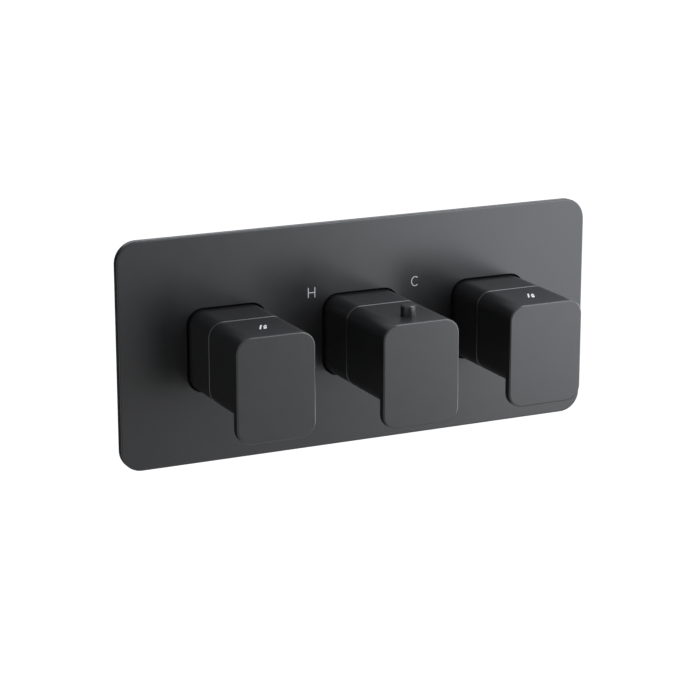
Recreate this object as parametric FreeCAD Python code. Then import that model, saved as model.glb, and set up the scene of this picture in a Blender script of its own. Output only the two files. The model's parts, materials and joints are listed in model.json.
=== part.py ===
import FreeCAD, Part
import math
import os

from FreeCAD import Vector

# Three-handle concealed thermostatic shower valve, in millimetres
# x runs right along the wall, y runs into the wall and z runs up.
# The origin lies on the wall line, at the centre of the face plate's back.

# Face plate
plate_width = 270.0
plate_height = 120.0
plate_thickness = 4.0
plate_corner = 14.0
plate_edge_round = 0.8
plate_seal_inset = 6.0
plate_seal_width = 4.0
plate_seal_depth = 2.0
hole_seal_width = 2.4
seal_fit = 0.1

# Row of controls
control_pitch = 76.0
knob_size = 42.4
knob_corner = 8.0

# Shrouds, fixed square collars seated in the plate
shroud_depth = 27.0
shroud_fit = 0.15
shroud_seat_depth = 2.2
shroud_seat_margin = 1.1
shroud_front_chamfer = 0.3

# Handles
handle_gap = 0.4
flow_reach = 62.5
temperature_reach = 70.0
lip_thickness = 4.1
lip_drop = 11.8
handle_front_round = 0.8
handle_back_chamfer = 0.5
handle_pocket_radius = 15.0
handle_front_wall = 5.0
hub_radius = 9.5
hub_setback = 11.9
hub_tail = 4.0
hub_end_wall = 2.5
hub_clearance = 1.2
stalk_radius = 5.0

# Set screw that holds a handle on its extension
set_screw_radius = 2.5
set_screw_length = 5.0
set_screw_key = 2.5
set_screw_key_depth = 2.4
set_screw_tip_radius = 1.4
set_screw_tip_length = 1.1
set_screw_setback = 9.2
key_hole_radius = 3.0

# Extension between a spindle and its handle
extension_gap = 1.5
extension_radius = 6.5
extension_round_length = 14.5
extension_square = 9.0
square_fit = 0.1
socket_spare = 0.5

# Splined spindle tips
spline_radius = 4.0
spline_tooth = 0.5
spline_length = 11.0
spline_teeth = 20
spline_fit = 0.1
spindle_shoulder = 1.0

# Spindles and their seals
spindle_radius = 5.0
running_fit = 0.05
film = 0.05
spindle_ring_section = 1.5
spindle_ring_setback = 5.0
ring_play = 0.02

# Sleeves that carry the plate and the shrouds
sleeve_radius = 16.0
sleeve_wall = 2.6
sleeve_reach = 20.0
sleeve_shoulder = 3.0
sleeve_socket_depth = 6.0
sleeve_socket_wall = 2.4
thread_fit = 0.1
shroud_ring_section = 1.6
shroud_ring_setback = 8.0

# Brass body
wall_to_boss = 12.0
boss_radius = 20.0
boss_length = 12.0
boss_chamfer = 0.8
casting_radius = 21.5
casting_chamfer = 1.5
gallery_radius = 5.5
gallery_barrel_radius = 10.0
gallery_back_wall = 5.5
plug_radius = 8.0
plug_depth = 7.0
plug_key = 8.0
plug_key_depth = 4.0
cross_passage_radius = 4.0
cross_barrel_radius = 9.0
passage_crown = 1.5
stub_clearance = 0.5

# Pipe ports, parallel half-inch threads
port_thread_radius = 9.3
port_thread_depth = 14.0
port_wall = 4.2
port_hex_flats = 30.0
port_hex_height = 10.0
port_passage_radius = 6.5
port_mouth_chamfer = 1.0
hex_chamfer_angle = 30.0
outlet_height = 44.0
inlet_drop = 56.0
inlet_crown = 9.0

# Flow cartridges, quarter-turn ceramic discs
bonnet_hex_flats = 22.0
bonnet_hex_depth = 8.0
bonnet_thread_radius = 12.0
bonnet_thread_depth = 12.0
bonnet_neck_radius = 8.5
bonnet_neck_length = 10.0
cage_radius = 10.4
chamber_radius = 8.8
flow_bore_depth = 34.0
seat_grip = 6.0
feed_radius = 6.0
base_seal_thickness = 2.0
base_seal_bore = 7.0
fixed_disc_thickness = 3.2
moving_disc_thickness = 3.0
disc_fit = 0.1
moving_disc_gap = 0.3
disc_hole_inner = 2.8
disc_hole_outer = 6.8
disc_hole_angle = 70.0
ear_width = 3.0
ear_reach = 0.8
drive_flange_radius = 7.5
drive_flange_thickness = 4.0
tang_width = 3.6
tang_length = 11.0
tang_depth = 1.8
tang_fit = 0.1
window_width = 8.0
window_margin = 0.6
window_count = 3

# Thermostatic cartridge
thermostat_flange_radius = 16.8
thermostat_flange_thickness = 4.0
thermostat_barrel_radius = 14.0
thermostat_barrel_length = 28.0
thermostat_bore_spare = 2.0
thermostat_bore = 10.6
thermostat_neck_radius = 9.6
thermostat_nut_radius = 17.0
thermostat_nut_thickness = 8.0
thermostat_nut_sunk = 2.0
nut_slot_width = 4.0
nut_slot_depth = 2.5
nut_slot_count = 4
nut_hex_flats = 14.0
nut_hex_fit = 0.1
thrust_flange_radius = 6.6
thrust_flange_thickness = 2.5
screw_radius = 3.8
screw_spare = 0.6
regulator_gap = 1.2
regulator_length = 11.8
regulator_thread_length = 5.3
regulator_cup_radius = 4.7
regulator_clear = 4.0
hot_row = 8.0
row_pitch = 10.0
row_hole_radius = 2.2
row_hole_count = 6
barrel_ring_section = 1.6
shuttle_fit = 0.05
shuttle_wall = 1.5
shuttle_cover = 0.8
shuttle_web = 2.0
shuttle_web_hole_radius = 1.3
shuttle_web_hole_count = 6
element_radius = 4.0
element_fit = 0.1
element_flange_radius = 5.4
element_flange_thickness = 1.8
element_front_length = 4.5
element_bulb_length = 13.0
element_pin_radius = 1.5
element_head_radius = 4.2
element_head_thickness = 1.2
element_head_gap = 1.0
end_ring_thickness = 2.5
end_ring_bore = 5.6
end_ring_hole_radius = 1.4
end_ring_hole_count = 6
return_spring_wire_radius = 0.6
return_spring_radius = 8.0
return_spring_turns = 4
overtravel_spring_wire_radius = 0.3
overtravel_spring_radius = 3.6
overtravel_spring_turns = 3
mixing_radius = 9.0

# Temperature stop
hot_turn = 55.0
stop_margin = 1.5
stop_sleeve_gap = 0.6
stop_sleeve_wall = 2.4
stop_sleeve_skirt = 8.0
stop_clearance = 0.4
button_setback = 15.0
button_radius = 4.0
button_round = 0.5
button_proud = 5.6
button_sunk = 0.8
button_travel = 3.0
button_spare = 0.2
button_stem_radius = 1.6
button_head_fit = 0.08
button_stem_fit = 0.06
collar_radius = 3.2
collar_thickness = 1.6
collar_fit = 0.05
button_spring_wire_radius = 0.4
button_spring_radius = 2.5
button_spring_turns = 4

# Check valves and strainers in the two inlets
check_radius = 8.1
check_fit = 0.1
check_length = 18.0
check_wall = 1.5
check_lip = 3.0
check_lip_bore = 4.6
check_spider = 2.0
check_spider_hole_radius = 1.4
check_spider_hole_count = 6
poppet_radius = 5.7
poppet_thickness = 2.4
poppet_stem_radius = 1.5
poppet_stem_proud = 0.4
check_spring_wire_radius = 0.4
check_spring_radius = 2.8
check_spring_turns = 4
strainer_radius = 8.8
strainer_fit = 0.1
strainer_thickness = 1.0
strainer_hole_radius = 0.8
strainer_rings = 2
strainer_ring_pitch = 2.9

# Bracket that fixes the body to the back of its recess
bracket_thickness = 2.5
bracket_length = 190.0
bracket_height = 36.0
bracket_corner = 5.0
arm_offset = 57.0
arm_width = 17.0
arm_height = 76.0
fixing_end = 7.0
fixing_slot_radius = 2.75
fixing_slot_length = 10.0
bracket_screw_radius = 2.5
bracket_screw_length = 10.0
bracket_screw_head_radius = 4.6
bracket_screw_head = 2.1
bracket_screw_sunk = 0.1
bracket_screw_spread = 12.0
bracket_screw_fit = 0.25
screw_slot_width = 1.2
screw_slot_depth = 1.2

# Overrun of a cutting tool past the face that it cuts
overrun = 1.0
plane_tolerance = 0.001
coil_samples = 48

full_turn = 360.0
half_turn = 180.0
quarter_turn = 90.0
hex_sides = 6

across = Vector(1, 0, 0)
inward = Vector(0, 1, 0)
up = Vector(0, 0, 1)

# Planes along y, from the wall line out into the room
plate_front = -plate_thickness
shroud_seat = plate_front + shroud_seat_depth
shroud_front = plate_front - shroud_depth
handle_back = shroud_front - handle_gap
flow_front = plate_front - flow_reach
temperature_front = plate_front - temperature_reach
hub_back = handle_back + hub_tail
sleeve_front = plate_front - sleeve_reach

# Planes along y, from the body's front face into the wall
boss_front = wall_to_boss
neck_front = boss_front - bonnet_hex_depth - bonnet_neck_length
thread_end = boss_front + bonnet_thread_depth
seat = boss_front + flow_bore_depth
disc_back = seat - base_seal_thickness
disc_face = disc_back - fixed_disc_thickness
moving_back = disc_face - film
moving_front = moving_back - moving_disc_thickness
flange_back = moving_front - film
flange_front = flange_back - drive_flange_thickness
chamber_front = flange_front - film
grip_front = seat - seat_grip

# Planes along y in the thermostatic cartridge
nut_front = boss_front + thermostat_nut_sunk
flange_face = nut_front + thermostat_nut_thickness
barrel_start = flange_face + thermostat_flange_thickness
barrel_end = barrel_start + thermostat_barrel_length
hot_line = barrel_start + hot_row
cold_line = hot_line + row_pitch
inlet_line = (hot_line + cold_line) / 2
thrust_face = nut_front
thrust_front = thrust_face + film
thrust_back = thrust_front + thrust_flange_thickness
regulator_front = thrust_back + regulator_gap
regulator_back = regulator_front + regulator_length
regulator_floor = regulator_front + regulator_thread_length
hex_bore_end = barrel_start + regulator_clear
shuttle_front = hot_line + row_hole_radius - shuttle_cover
shuttle_back = cold_line - row_hole_radius + shuttle_cover
web_front = (shuttle_front + shuttle_back - shuttle_web) / 2
web_back = web_front + shuttle_web
end_ring_front = barrel_end - end_ring_thickness
thermostat_bore_end = barrel_end + thermostat_bore_spare

# Planes along y at the back of the body, and the ends of the gallery drilled along it
gallery_line = thermostat_bore_end + gallery_radius
body_back = gallery_line + gallery_radius + gallery_back_wall
bracket_back = body_back + bracket_thickness
gallery_end = control_pitch + casting_radius

# Heights in the inlets, and the places of the ports' stubs
inlet_mouth = -inlet_drop
strainer_seat = inlet_mouth + port_thread_depth
inlet_step = strainer_seat + strainer_thickness
check_top = inlet_step + check_length
port_radius = port_thread_radius + port_wall
inlet_offset = control_pitch / 2
outlet_line = boss_front + sleeve_socket_depth + stub_clearance + port_radius

# Radii that follow from a fit
spindle_bore = spindle_radius + running_fit
shroud_bore = sleeve_radius + shroud_fit
sleeve_bore = sleeve_radius - sleeve_wall
plate_hole = sleeve_radius + hole_seal_width + seal_fit
handle_top = knob_size / 2

# Button places: its centre line along y and its heights above the handle's axis
button_line = temperature_front + button_setback
button_top = handle_top + button_proud
button_foot = handle_top - button_sunk
button_floor = button_foot - button_travel - button_spare
collar_top = math.sqrt(handle_pocket_radius ** 2 - collar_radius ** 2) - button_spare
collar_bottom = collar_top - collar_thickness

# Planes along y of the hubs' ends, and of the extensions that they hold
flow_hub_end = flow_front + hub_setback
temperature_hub_end = button_line + collar_radius + hub_clearance
extension_back = neck_front - extension_gap
extension_shoulder = extension_back - extension_round_length

# Height between the bracket's fixing slots
fixing_spacing = arm_height - 2 * fixing_end

side_places = {"left": -control_pitch, "right": control_pitch}
all_places = {"left": -control_pitch, "middle": 0.0, "right": control_pitch}
inlet_places = {"hot": -inlet_offset, "cold": inlet_offset}


# Writing and placing

def write(node, *solids):
    shape = solids[0] if len(solids) == 1 else Part.makeCompound(list(solids))
    shape.exportStep("parts/" + node + ".step")


def moved(shape, x, y=0.0, z=0.0):
    copy = shape.copy()
    copy.translate(Vector(x, y, z))
    return copy


def ring_of(shape, count, origin, axis):
    """The same shape turned evenly about an axis."""
    copies = []
    for index in range(count):
        copy = shape.copy()
        copy.rotate(origin, axis, full_turn * index / count)
        copies.append(copy)
    return copies


# Solids along y

def rod(radius, front, back):
    return Part.makeCylinder(radius, back - front, Vector(0, front, 0), inward)


def turned(outline):
    """A solid turned about the y axis from (radius, y) points."""
    points = [Vector(radius, y, 0) for radius, y in outline]
    face = Part.Face(Part.makePolygon(points + points[:1]))
    return face.revolve(Vector(), inward, full_turn)


def turned_up(outline):
    """A solid turned about the z axis from (radius, z) points."""
    points = [Vector(radius, 0, z) for radius, z in outline]
    face = Part.Face(Part.makePolygon(points + points[:1]))
    return face.revolve(Vector(), up, full_turn)


def ring(section, radius, y):
    """A round seal of a given section about the y axis."""
    return Part.makeTorus(radius, section / 2, Vector(0, y, 0), inward)


def prism(points, depth):
    face = Part.Face(Part.makePolygon(points + points[:1]))
    return face.extrude(depth)


def hexagon(flats):
    """The corners of a hexagon, as pairs about a centre."""
    radius = flats / math.sqrt(3)
    angles = [math.radians(full_turn * side / hex_sides) for side in range(hex_sides)]
    return [(radius * math.cos(angle), radius * math.sin(angle)) for angle in angles]


def hex_bar(flats, front, back):
    """A hexagon bar along y."""
    points = [Vector(x, front, z) for x, z in hexagon(flats)]
    return prism(points, inward * (back - front))


def hex_post(flats, low, high):
    """A hexagon bar along z."""
    points = [Vector(x, y, low) for x, y in hexagon(flats)]
    return prism(points, up * (high - low))


def spanner_nut(flats, low, high):
    """A hexagon along z whose corners are turned off at both ends."""
    inner = flats / 2
    outer = flats / math.sqrt(3)
    rise = (outer - inner) * math.tan(math.radians(hex_chamfer_angle))
    blank = turned_up([(0, low), (inner, low), (outer, low + rise), (outer, high - rise), (inner, high),
                       (0, high)])
    return hex_post(flats, low, high).common(blank)


def splines(grow, front, back):
    """A toothed bar along y."""
    steps = 2 * spline_teeth
    points = []
    for step in range(steps):
        radius = spline_radius + grow - (spline_tooth if step % 2 else 0.0)
        angle = math.radians(full_turn * step / steps)
        points.append(Vector(radius * math.cos(angle), front, radius * math.sin(angle)))
    return prism(points, inward * (back - front))


def square_bar(side, front, back):
    return Part.makeBox(side, back - front, side, Vector(-side / 2, front, -side / 2))


def edges_in_plane(shape, y):
    return [edge for edge in shape.Edges
            if abs(edge.BoundBox.YMin - y) < plane_tolerance
            and abs(edge.BoundBox.YMax - y) < plane_tolerance]


def rounded_block(width, low, high, corner, front, back):
    """A block along y whose four long edges are rounded."""
    block = Part.makeBox(width, back - front, high - low, Vector(-width / 2, front, low))
    depth = back - front
    edges = [edge for edge in block.Edges if abs(edge.BoundBox.YLength - depth) < plane_tolerance]
    return block.makeFillet(corner, edges)


def upright(radius, low, high, x, y):
    return Part.makeCylinder(radius, high - low, Vector(x, y, low), up)


def bridge(radius, start, end, y):
    return Part.makeCylinder(radius, end - start, Vector(start, y, 0), across)


# Spring wire

def arc_from(start, heading, end):
    """The arc that leaves a point in a given direction and ends at another point."""
    chord = end - start
    middle_way = (heading + chord * (1 / chord.Length)).normalize()
    reach = chord.Length / (2 * middle_way.dot(heading))
    return Part.Arc(start, start + middle_way * reach, end).toShape()


def biarc(start, heading, end, arrival):
    """Two arcs that join two points and keep the direction at both."""
    chord = end - start
    turn = heading + arrival
    bend = 2 * (1 - heading.dot(arrival))
    along = chord.dot(turn)
    reach = (math.sqrt(along ** 2 + bend * chord.dot(chord)) - along) / bend
    joint = (start + end + (heading - arrival) * reach) * 0.5
    second = arc_from(end, arrival * -1, joint)
    return [arc_from(start, heading, joint), second]


def least_gap(path, wire_radius, turns):
    """The least room between a coil's turns, measured on points of its line."""
    points = path.discretize(Number=coil_samples * turns)
    gap = min((point - other).Length for index, point in enumerate(points)
              for other in points[index + coil_samples // 2:])
    return gap - 2 * wire_radius


def coil(name, wire_radius, radius, turns, low, high):
    """A round spring about the z axis between two heights, wound in quarter turns."""
    rise = (high - low - 2 * wire_radius) / turns
    climb = rise / math.radians(full_turn)
    places = []
    for step in range(4 * turns + 1):
        angle = math.radians(quarter_turn * step)
        height = low + wire_radius + climb * angle
        place = Vector(radius * math.cos(angle), radius * math.sin(angle), height)
        heading = Vector(-radius * math.sin(angle), radius * math.cos(angle), climb).normalize()
        places.append((place, heading))
    edges = []
    for (start, heading), (end, arrival) in zip(places, places[1:]):
        edges += biarc(start, heading, end, arrival)
    path = Part.Wire(Part.__sortEdges__(edges))
    print(name, "least gap between turns", round(least_gap(path, wire_radius, turns), 2), "mm")
    section = Part.Wire(Part.makeCircle(wire_radius, places[0][0], places[0][1]))
    return path.makePipeShell([section], True, False)


def laid_along_y(shape):
    """Turn a shape made about z so that its z runs into the wall."""
    copy = shape.copy()
    copy.rotate(Vector(), across, -quarter_turn)
    return copy


# Face plate, its seals and the shrouds

def seal_strip(grow, front):
    def outline(inset):
        width = plate_width - 2 * inset
        height = plate_height - 2 * inset
        corner = max(plate_corner - inset, plate_seal_width / 2)
        return rounded_block(width, -height / 2, height / 2, corner, front, 0.0)
    outer = outline(plate_seal_inset - grow)
    return outer.cut(outline(plate_seal_inset + plate_seal_width + grow))


def make_plate():
    plate = rounded_block(plate_width, -plate_height / 2, plate_height / 2, plate_corner, plate_front, 0.0)
    plate = plate.makeFillet(plate_edge_round, edges_in_plane(plate, plate_front))
    seat_half = knob_size / 2 + shroud_seat_margin
    seat = rounded_block(2 * seat_half, -seat_half, seat_half, knob_corner + shroud_seat_margin,
                         plate_front - overrun, shroud_seat)
    for x in all_places.values():
        plate = plate.cut(moved(seat, x)).cut(moved(rod(plate_hole, shroud_seat - overrun, overrun), x))
    return plate.cut(seal_strip(seal_fit, -plate_seal_depth))


def make_hole_seal():
    inner = sleeve_radius + seal_fit
    return turned([(inner, shroud_seat), (plate_hole - seal_fit, shroud_seat),
                   (plate_hole - seal_fit, 0), (inner, 0)])


def make_shroud():
    shroud = rounded_block(knob_size, -handle_top, handle_top, knob_corner, shroud_front, shroud_seat)
    shroud = shroud.makeChamfer(shroud_front_chamfer, edges_in_plane(shroud, shroud_front))
    return shroud.cut(rod(shroud_bore, shroud_front - overrun, shroud_seat + overrun))


def make_sleeve():
    socket = boss_radius + thread_fit
    socket_back = boss_front + sleeve_socket_depth
    shoulder_front = boss_front - sleeve_shoulder
    outer = socket + sleeve_socket_wall
    sleeve = turned([(sleeve_bore, sleeve_front), (sleeve_radius, sleeve_front),
                     (sleeve_radius, shoulder_front), (outer, shoulder_front), (outer, socket_back),
                     (socket, socket_back), (socket, boss_front), (sleeve_bore, boss_front)])
    line = sleeve_front + shroud_ring_setback
    half = shroud_ring_section / 2 + ring_play
    floor = shroud_bore - shroud_ring_section - 2 * ring_play
    groove = turned([(floor, line - half), (sleeve_radius + overrun, line - half),
                     (sleeve_radius + overrun, line + half), (floor, line + half)])
    return sleeve.cut(groove)


def make_shroud_ring():
    return ring(shroud_ring_section, shroud_bore - ring_play - shroud_ring_section / 2,
                sleeve_front + shroud_ring_setback)


# Handles, their set screws and extensions

def set_screw_line(hub_end):
    return hub_end + set_screw_setback


def make_handle(front, hub_end):
    low = -knob_size / 2
    lip_back = front + lip_thickness
    face = rounded_block(knob_size, low - lip_drop, handle_top, knob_corner, front, lip_back)
    face = face.makeFillet(handle_front_round, edges_in_plane(face, front))
    grip = rounded_block(knob_size, low, handle_top, knob_corner, lip_back, handle_back)
    grip = grip.makeChamfer(handle_back_chamfer, edges_in_plane(grip, handle_back))
    handle = face.fuse(grip).removeSplitter()

    pocket_floor = front + handle_front_wall
    handle = handle.cut(rod(handle_pocket_radius, pocket_floor, handle_back + overrun))
    stalk = rod(stalk_radius, pocket_floor - handle_front_wall / 2, hub_end + hub_end_wall / 2)
    handle = handle.fuse(rod(hub_radius, hub_end, hub_back)).fuse(stalk)
    socket = square_bar(extension_square + 2 * square_fit, hub_end + hub_end_wall, hub_back + overrun)
    handle = handle.cut(socket)
    line = set_screw_line(hub_end)
    screw_hole = upright(set_screw_radius + thread_fit, -hub_radius - overrun, 0.0, 0.0, line)
    key_hole = upright(key_hole_radius, low - overrun, -hub_radius - overrun, 0.0, line)
    return handle.cut(screw_hole).cut(key_hole).removeSplitter()


def make_temperature_handle():
    handle = make_handle(temperature_front, temperature_hub_end)
    well = upright(button_radius + button_head_fit, button_floor, handle_top + overrun, 0.0, button_line)
    guide = upright(button_stem_radius + button_stem_fit, handle_pocket_radius - overrun,
                    button_floor + overrun, 0.0, button_line)
    return handle.cut(well).cut(guide)


def make_set_screw(hub_end):
    top = -extension_square / 2 - film
    bottom = top - set_screw_length
    neck = top - set_screw_tip_length
    screw = turned_up([(0, bottom), (set_screw_radius, bottom), (set_screw_radius, neck),
                       (set_screw_tip_radius, top), (0, top)])
    key = hex_post(set_screw_key, bottom - overrun, bottom + set_screw_key_depth)
    return moved(screw.cut(key), 0.0, set_screw_line(hub_end))


def make_extension(hub_end):
    tip = hub_end + hub_end_wall + socket_spare
    bar = rod(extension_radius, extension_shoulder, extension_back)
    bar = bar.fuse(square_bar(extension_square, tip, extension_shoulder))
    spline_end = neck_front - spindle_shoulder - spline_length - socket_spare
    return bar.cut(splines(spline_fit, spline_end, extension_back + overrun)).removeSplitter()


# Spindles

def spindle_shaft(back):
    """The round shaft, its seal groove and its splined tip."""
    shoulder = neck_front - spindle_shoulder
    line = neck_front + spindle_ring_setback
    half = spindle_ring_section / 2 + ring_play
    floor = spindle_bore - spindle_ring_section - 2 * ring_play
    shaft = turned([(0, shoulder), (spindle_radius, shoulder), (spindle_radius, line - half),
                    (floor, line - half), (floor, line + half), (spindle_radius, line + half),
                    (spindle_radius, back), (0, back)])
    return shaft.fuse(splines(0.0, shoulder - spline_length, shoulder))


def make_spindle_ring():
    return ring(spindle_ring_section, spindle_bore - ring_play - spindle_ring_section / 2,
                neck_front + spindle_ring_setback)


def make_flow_spindle():
    flange = rod(drive_flange_radius, flange_front, flange_back)
    tang = Part.makeBox(tang_length, tang_depth, tang_width,
                        Vector(-tang_length / 2, flange_back, -tang_width / 2))
    return spindle_shaft(flange_front).fuse(flange).fuse(tang).removeSplitter()


def make_thermostat_spindle():
    flange = rod(thrust_flange_radius, thrust_front, thrust_back)
    screw = rod(screw_radius, thrust_back, regulator_floor - screw_spare)
    return spindle_shaft(thrust_front).fuse(flange).fuse(screw).removeSplitter()


# Flow cartridges

def make_bonnet():
    bonnet = turned([(chamber_radius, disc_back), (cage_radius, disc_back), (cage_radius, thread_end),
                     (bonnet_thread_radius, thread_end), (bonnet_thread_radius, boss_front),
                     (bonnet_neck_radius, boss_front), (bonnet_neck_radius, neck_front),
                     (spindle_bore, neck_front), (spindle_bore, chamber_front),
                     (chamber_radius, chamber_front)])
    spanner_hex = hex_bar(bonnet_hex_flats, boss_front - bonnet_hex_depth, boss_front)
    bonnet = bonnet.fuse(spanner_hex.cut(rod(bonnet_neck_radius, neck_front, boss_front + overrun)))
    window_front = chamber_front + window_margin
    window_back = disc_face - window_margin
    window = Part.makeBox(window_width, window_back - window_front, cage_radius + overrun,
                          Vector(-window_width / 2, window_front, 0))
    for cut in ring_of(window, window_count, Vector(), inward):
        bonnet = bonnet.cut(cut)
    return bonnet.cut(disc_ears(disc_fit, disc_face, disc_back + overrun)).removeSplitter()


def disc_ears(grow, front, back):
    reach = chamber_radius + ear_reach + grow
    width = ear_width + 2 * grow
    return Part.makeBox(2 * reach, back - front, width, Vector(-reach, front, -width / 2))


def disc_holes(middle_angle, front, back):
    """Two opposite openings in a ceramic disc."""
    height = back - front
    pie = Part.makeCylinder(disc_hole_outer, height, Vector(), up, disc_hole_angle)
    pie = pie.cut(Part.makeCylinder(disc_hole_inner, height))
    pie.rotate(Vector(), up, middle_angle - disc_hole_angle / 2)
    pie = moved(laid_along_y(pie), 0.0, front)
    first, second = ring_of(pie, 2, Vector(), inward)
    return first.fuse(second)


def make_fixed_disc():
    radius = chamber_radius - disc_fit
    disc = rod(radius, disc_face, disc_back).fuse(disc_ears(0.0, disc_face, disc_back))
    return disc.cut(disc_holes(quarter_turn, disc_face - overrun, disc_back + overrun)).removeSplitter()


def make_moving_disc():
    disc = rod(chamber_radius - moving_disc_gap, moving_front, moving_back)
    length = tang_length + 2 * tang_fit
    width = tang_width + 2 * tang_fit
    slot = Part.makeBox(length, tang_depth + tang_fit + overrun, width,
                        Vector(-length / 2, moving_front - overrun, -width / 2))
    return disc.cut(slot).cut(disc_holes(0.0, moving_front - overrun, moving_back + overrun))


def make_base_seal():
    return turned([(base_seal_bore, disc_back), (cage_radius, disc_back), (cage_radius, seat),
                   (base_seal_bore, seat)])


# Thermostatic cartridge

def barrel_ring_lines():
    half = row_pitch / 2
    return [hot_line - half, hot_line + half, cold_line + half]


def make_thermostat_housing():
    housing = turned([(spindle_bore, neck_front), (thermostat_neck_radius, neck_front),
                      (thermostat_neck_radius, flange_face), (thermostat_flange_radius, flange_face),
                      (thermostat_flange_radius, barrel_start), (thermostat_barrel_radius, barrel_start),
                      (thermostat_barrel_radius, barrel_end), (thermostat_bore, barrel_end),
                      (thermostat_bore, hex_bore_end), (spindle_bore, hex_bore_end)])
    housing = housing.cut(hex_bar(nut_hex_flats + 2 * nut_hex_fit, thrust_face, hex_bore_end + overrun))
    half = barrel_ring_section / 2 + ring_play
    bore = thermostat_barrel_radius + thread_fit
    floor = bore - barrel_ring_section - 2 * ring_play
    for line in barrel_ring_lines():
        housing = housing.cut(turned([(floor, line - half), (bore + overrun, line - half),
                                      (bore + overrun, line + half), (floor, line + half)]))
    for line in (hot_line, cold_line):
        hole = upright(row_hole_radius, 0.0, bore + overrun, 0.0, line)
        for cut in ring_of(hole, row_hole_count, Vector(), inward):
            housing = housing.cut(cut)
    return housing.removeSplitter()


def make_barrel_ring(line):
    bore = thermostat_barrel_radius + thread_fit
    return ring(barrel_ring_section, bore - ring_play - barrel_ring_section / 2, line)


def make_thermostat_nut():
    bore = thermostat_neck_radius + thread_fit
    nut = turned([(bore, nut_front), (thermostat_nut_radius, nut_front),
                  (thermostat_nut_radius, flange_face), (bore, flange_face)])
    slot = Part.makeBox(nut_slot_width, nut_slot_depth + overrun, thermostat_nut_radius + overrun,
                        Vector(-nut_slot_width / 2, nut_front - overrun, 0))
    for cut in ring_of(slot, nut_slot_count, Vector(), inward):
        nut = nut.cut(cut)
    return nut


def make_regulating_nut():
    nut = hex_bar(nut_hex_flats, regulator_front, regulator_back)
    nut = nut.cut(rod(screw_radius + running_fit, regulator_front - overrun, regulator_back))
    return nut.cut(rod(regulator_cup_radius, regulator_floor, regulator_back + overrun))


def make_wax_element():
    front = web_front - element_flange_thickness
    body_front = front - element_front_length
    head_back = regulator_back - element_head_gap
    head_front = head_back - element_head_thickness
    return turned([(0, head_front), (element_head_radius, head_front), (element_head_radius, head_back),
                   (element_pin_radius, head_back), (element_pin_radius, body_front),
                   (element_radius, body_front), (element_radius, front), (element_flange_radius, front),
                   (element_flange_radius, web_front), (element_radius, web_front),
                   (element_radius, web_front + element_bulb_length), (0, web_front + element_bulb_length)])


def make_shuttle():
    outer = thermostat_bore - shuttle_fit
    inner = outer - shuttle_wall
    bore = element_radius + element_fit
    shuttle = turned([(outer, shuttle_front), (outer, shuttle_back), (inner, shuttle_back), (inner, web_back),
                      (bore, web_back), (bore, web_front), (inner, web_front), (inner, shuttle_front)])
    hole = moved(rod(shuttle_web_hole_radius, web_front - overrun, web_back + overrun), 0.0, 0.0,
                 (element_flange_radius + inner) / 2)
    for cut in ring_of(hole, shuttle_web_hole_count, Vector(), inward):
        shuttle = shuttle.cut(cut)
    return shuttle


def make_end_ring():
    outer = thermostat_bore - disc_fit
    end_ring = turned([(end_ring_bore, end_ring_front), (outer, end_ring_front), (outer, barrel_end),
                       (end_ring_bore, barrel_end)])
    hole = moved(rod(end_ring_hole_radius, end_ring_front - overrun, barrel_end + overrun), 0.0, 0.0,
                 (end_ring_bore + outer) / 2)
    for cut in ring_of(hole, end_ring_hole_count, Vector(), inward):
        end_ring = end_ring.cut(cut)
    return end_ring


def make_return_spring():
    return laid_along_y(coil("return spring", return_spring_wire_radius, return_spring_radius,
                             return_spring_turns, web_back, end_ring_front))


def make_overtravel_spring():
    head_front = regulator_back - element_head_gap - element_head_thickness
    return laid_along_y(coil("overtravel spring", overtravel_spring_wire_radius, overtravel_spring_radius,
                             overtravel_spring_turns, regulator_floor, head_front))


# Temperature stop and its button

def make_stop_sleeve():
    outer = handle_pocket_radius - stop_sleeve_gap
    inner = outer - stop_sleeve_wall
    skirt = sleeve_bore - thread_fit
    stop_front = button_line + button_stem_radius + stop_clearance
    free_front = button_line + collar_radius + stop_clearance
    sleeve = turned([(inner, stop_front), (outer, stop_front), (outer, sleeve_front), (skirt, sleeve_front),
                     (skirt, sleeve_front + stop_sleeve_skirt), (inner, sleeve_front + stop_sleeve_skirt)])
    reach = math.degrees(math.atan2(collar_radius, collar_bottom))
    half_angle = hot_turn + reach + stop_margin
    gap = Part.makeCylinder(outer + overrun, free_front - stop_front + overrun, Vector(), up, 2 * half_angle)
    gap.rotate(Vector(), up, -quarter_turn - half_angle)
    sleeve = sleeve.cut(moved(laid_along_y(gap), 0.0, stop_front - overrun))
    line = set_screw_line(temperature_hub_end)
    return sleeve.cut(upright(key_hole_radius, -outer - overrun, 0.0, 0.0, line))


def make_button():
    rim = button_radius - button_round
    button = turned_up([(0, collar_bottom), (button_stem_radius, collar_bottom),
                        (button_stem_radius, button_foot), (button_radius, button_foot),
                        (button_radius, button_top - button_round), (rim, button_top), (0, button_top)])
    return moved(button, 0.0, button_line)


def make_button_collar():
    bore = button_stem_radius + collar_fit
    collar = turned_up([(bore, collar_bottom), (collar_radius, collar_bottom), (collar_radius, collar_top),
                        (bore, collar_top)])
    return moved(collar, 0.0, button_line)


def make_button_spring():
    spring = coil("button spring", button_spring_wire_radius, button_spring_radius, button_spring_turns,
                  stalk_radius, collar_bottom)
    return moved(spring, 0.0, button_line)


# Check valves

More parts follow.
